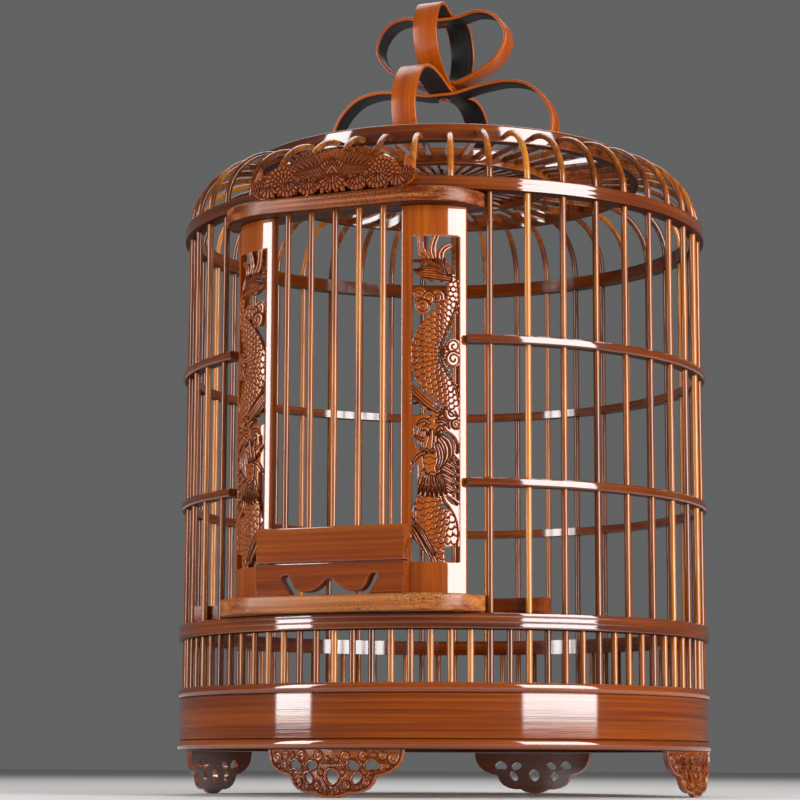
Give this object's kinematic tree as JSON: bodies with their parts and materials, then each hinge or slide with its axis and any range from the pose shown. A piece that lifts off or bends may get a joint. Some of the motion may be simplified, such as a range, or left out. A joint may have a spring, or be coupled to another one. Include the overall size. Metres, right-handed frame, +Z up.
{
  "type": "bamboo bird cage",
  "caption": "Round barred bamboo bird cage with rounded shoulder, flat crown, tiered bent-strip finial, lift-up bar door between openwork pillars, carved crest and scroll feet.",
  "frame": {"origin": "middle of the footprint on the table, under the cage; the round body's axis lies 4 mm behind it", "axes": "+Z up along the cage's height, -Y out through the door, +X to the right of someone facing the door"},
  "size_m": [0.3398, 0.348, 0.5173],
  "materials": {
    "bamboo_skin": "clear-varnished red-brown bamboo skin",
    "bamboo_bar": "varnished drawn bamboo bars",
    "bamboo_board": "varnished laminated bamboo board"
  },
  "bodies": {
    "cage": {"base_band": "bamboo_skin", "lower_hoop": "bamboo_skin", "middle_hoop": "bamboo_skin", "upper_hoop": "bamboo_skin", "shoulder_hoop": "bamboo_skin", "wall_panel_right_1": "bamboo_bar", "wall_panel_left_1": "bamboo_bar", "wall_panel_right_2": "bamboo_bar", "wall_panel_left_2": "bamboo_bar", "wall_panel_right_3": "bamboo_bar", "wall_panel_left_3": "bamboo_bar", "bars_below_door": "bamboo_bar", "rib_over_door_1": "bamboo_bar", "rib_over_door_2": "bamboo_bar", "rib_over_door_3": "bamboo_bar", "rib_over_door_4": "bamboo_bar", "rib_over_door_5": "bamboo_bar", "rib_over_door_6": "bamboo_bar", "rib_over_door_7": "bamboo_bar", "crown_hoop": "bamboo_skin", "crown_grille": "bamboo_bar", "crown_hub": "bamboo_board", "pillar_left": "bamboo_skin", "pillar_right": "bamboo_skin", "top_board": "bamboo_board", "sill_board": "bamboo_board", "threshold_board": "bamboo_skin", "crest_panel": "bamboo_skin", "foot_front": "bamboo_skin", "foot_right": "bamboo_skin", "foot_back": "bamboo_skin", "foot_left": "bamboo_skin", "inner_batten": "bamboo_board", "batten_peg_left": "bamboo_bar", "batten_peg_right": "bamboo_bar", "finial_lower_side_to_side": "bamboo_skin", "finial_lower_front_to_back": "bamboo_skin", "finial_upper_front_to_back": "bamboo_skin", "finial_upper_side_to_side": "bamboo_skin", "finial_peg": "bamboo_board"},
    "door": {"door_rail": "bamboo_skin", "door_bar_1": "bamboo_bar", "door_bar_2": "bamboo_bar", "door_bar_3": "bamboo_bar", "door_bar_4": "bamboo_bar", "door_bar_5": "bamboo_bar"},
    "floor": {"floor_panel": "bamboo_board"}
  },
  "joints": [
    {"name": "door_lift", "type": "slide", "parent": "cage", "child": "door", "axis": [0, 0, 1], "range_m": [0, 0.188]},
    {"name": "floor_drop", "type": "slide", "parent": "cage", "child": "floor", "axis": [0, 0, -1], "range_m": [0, 0.035]}
  ]
}
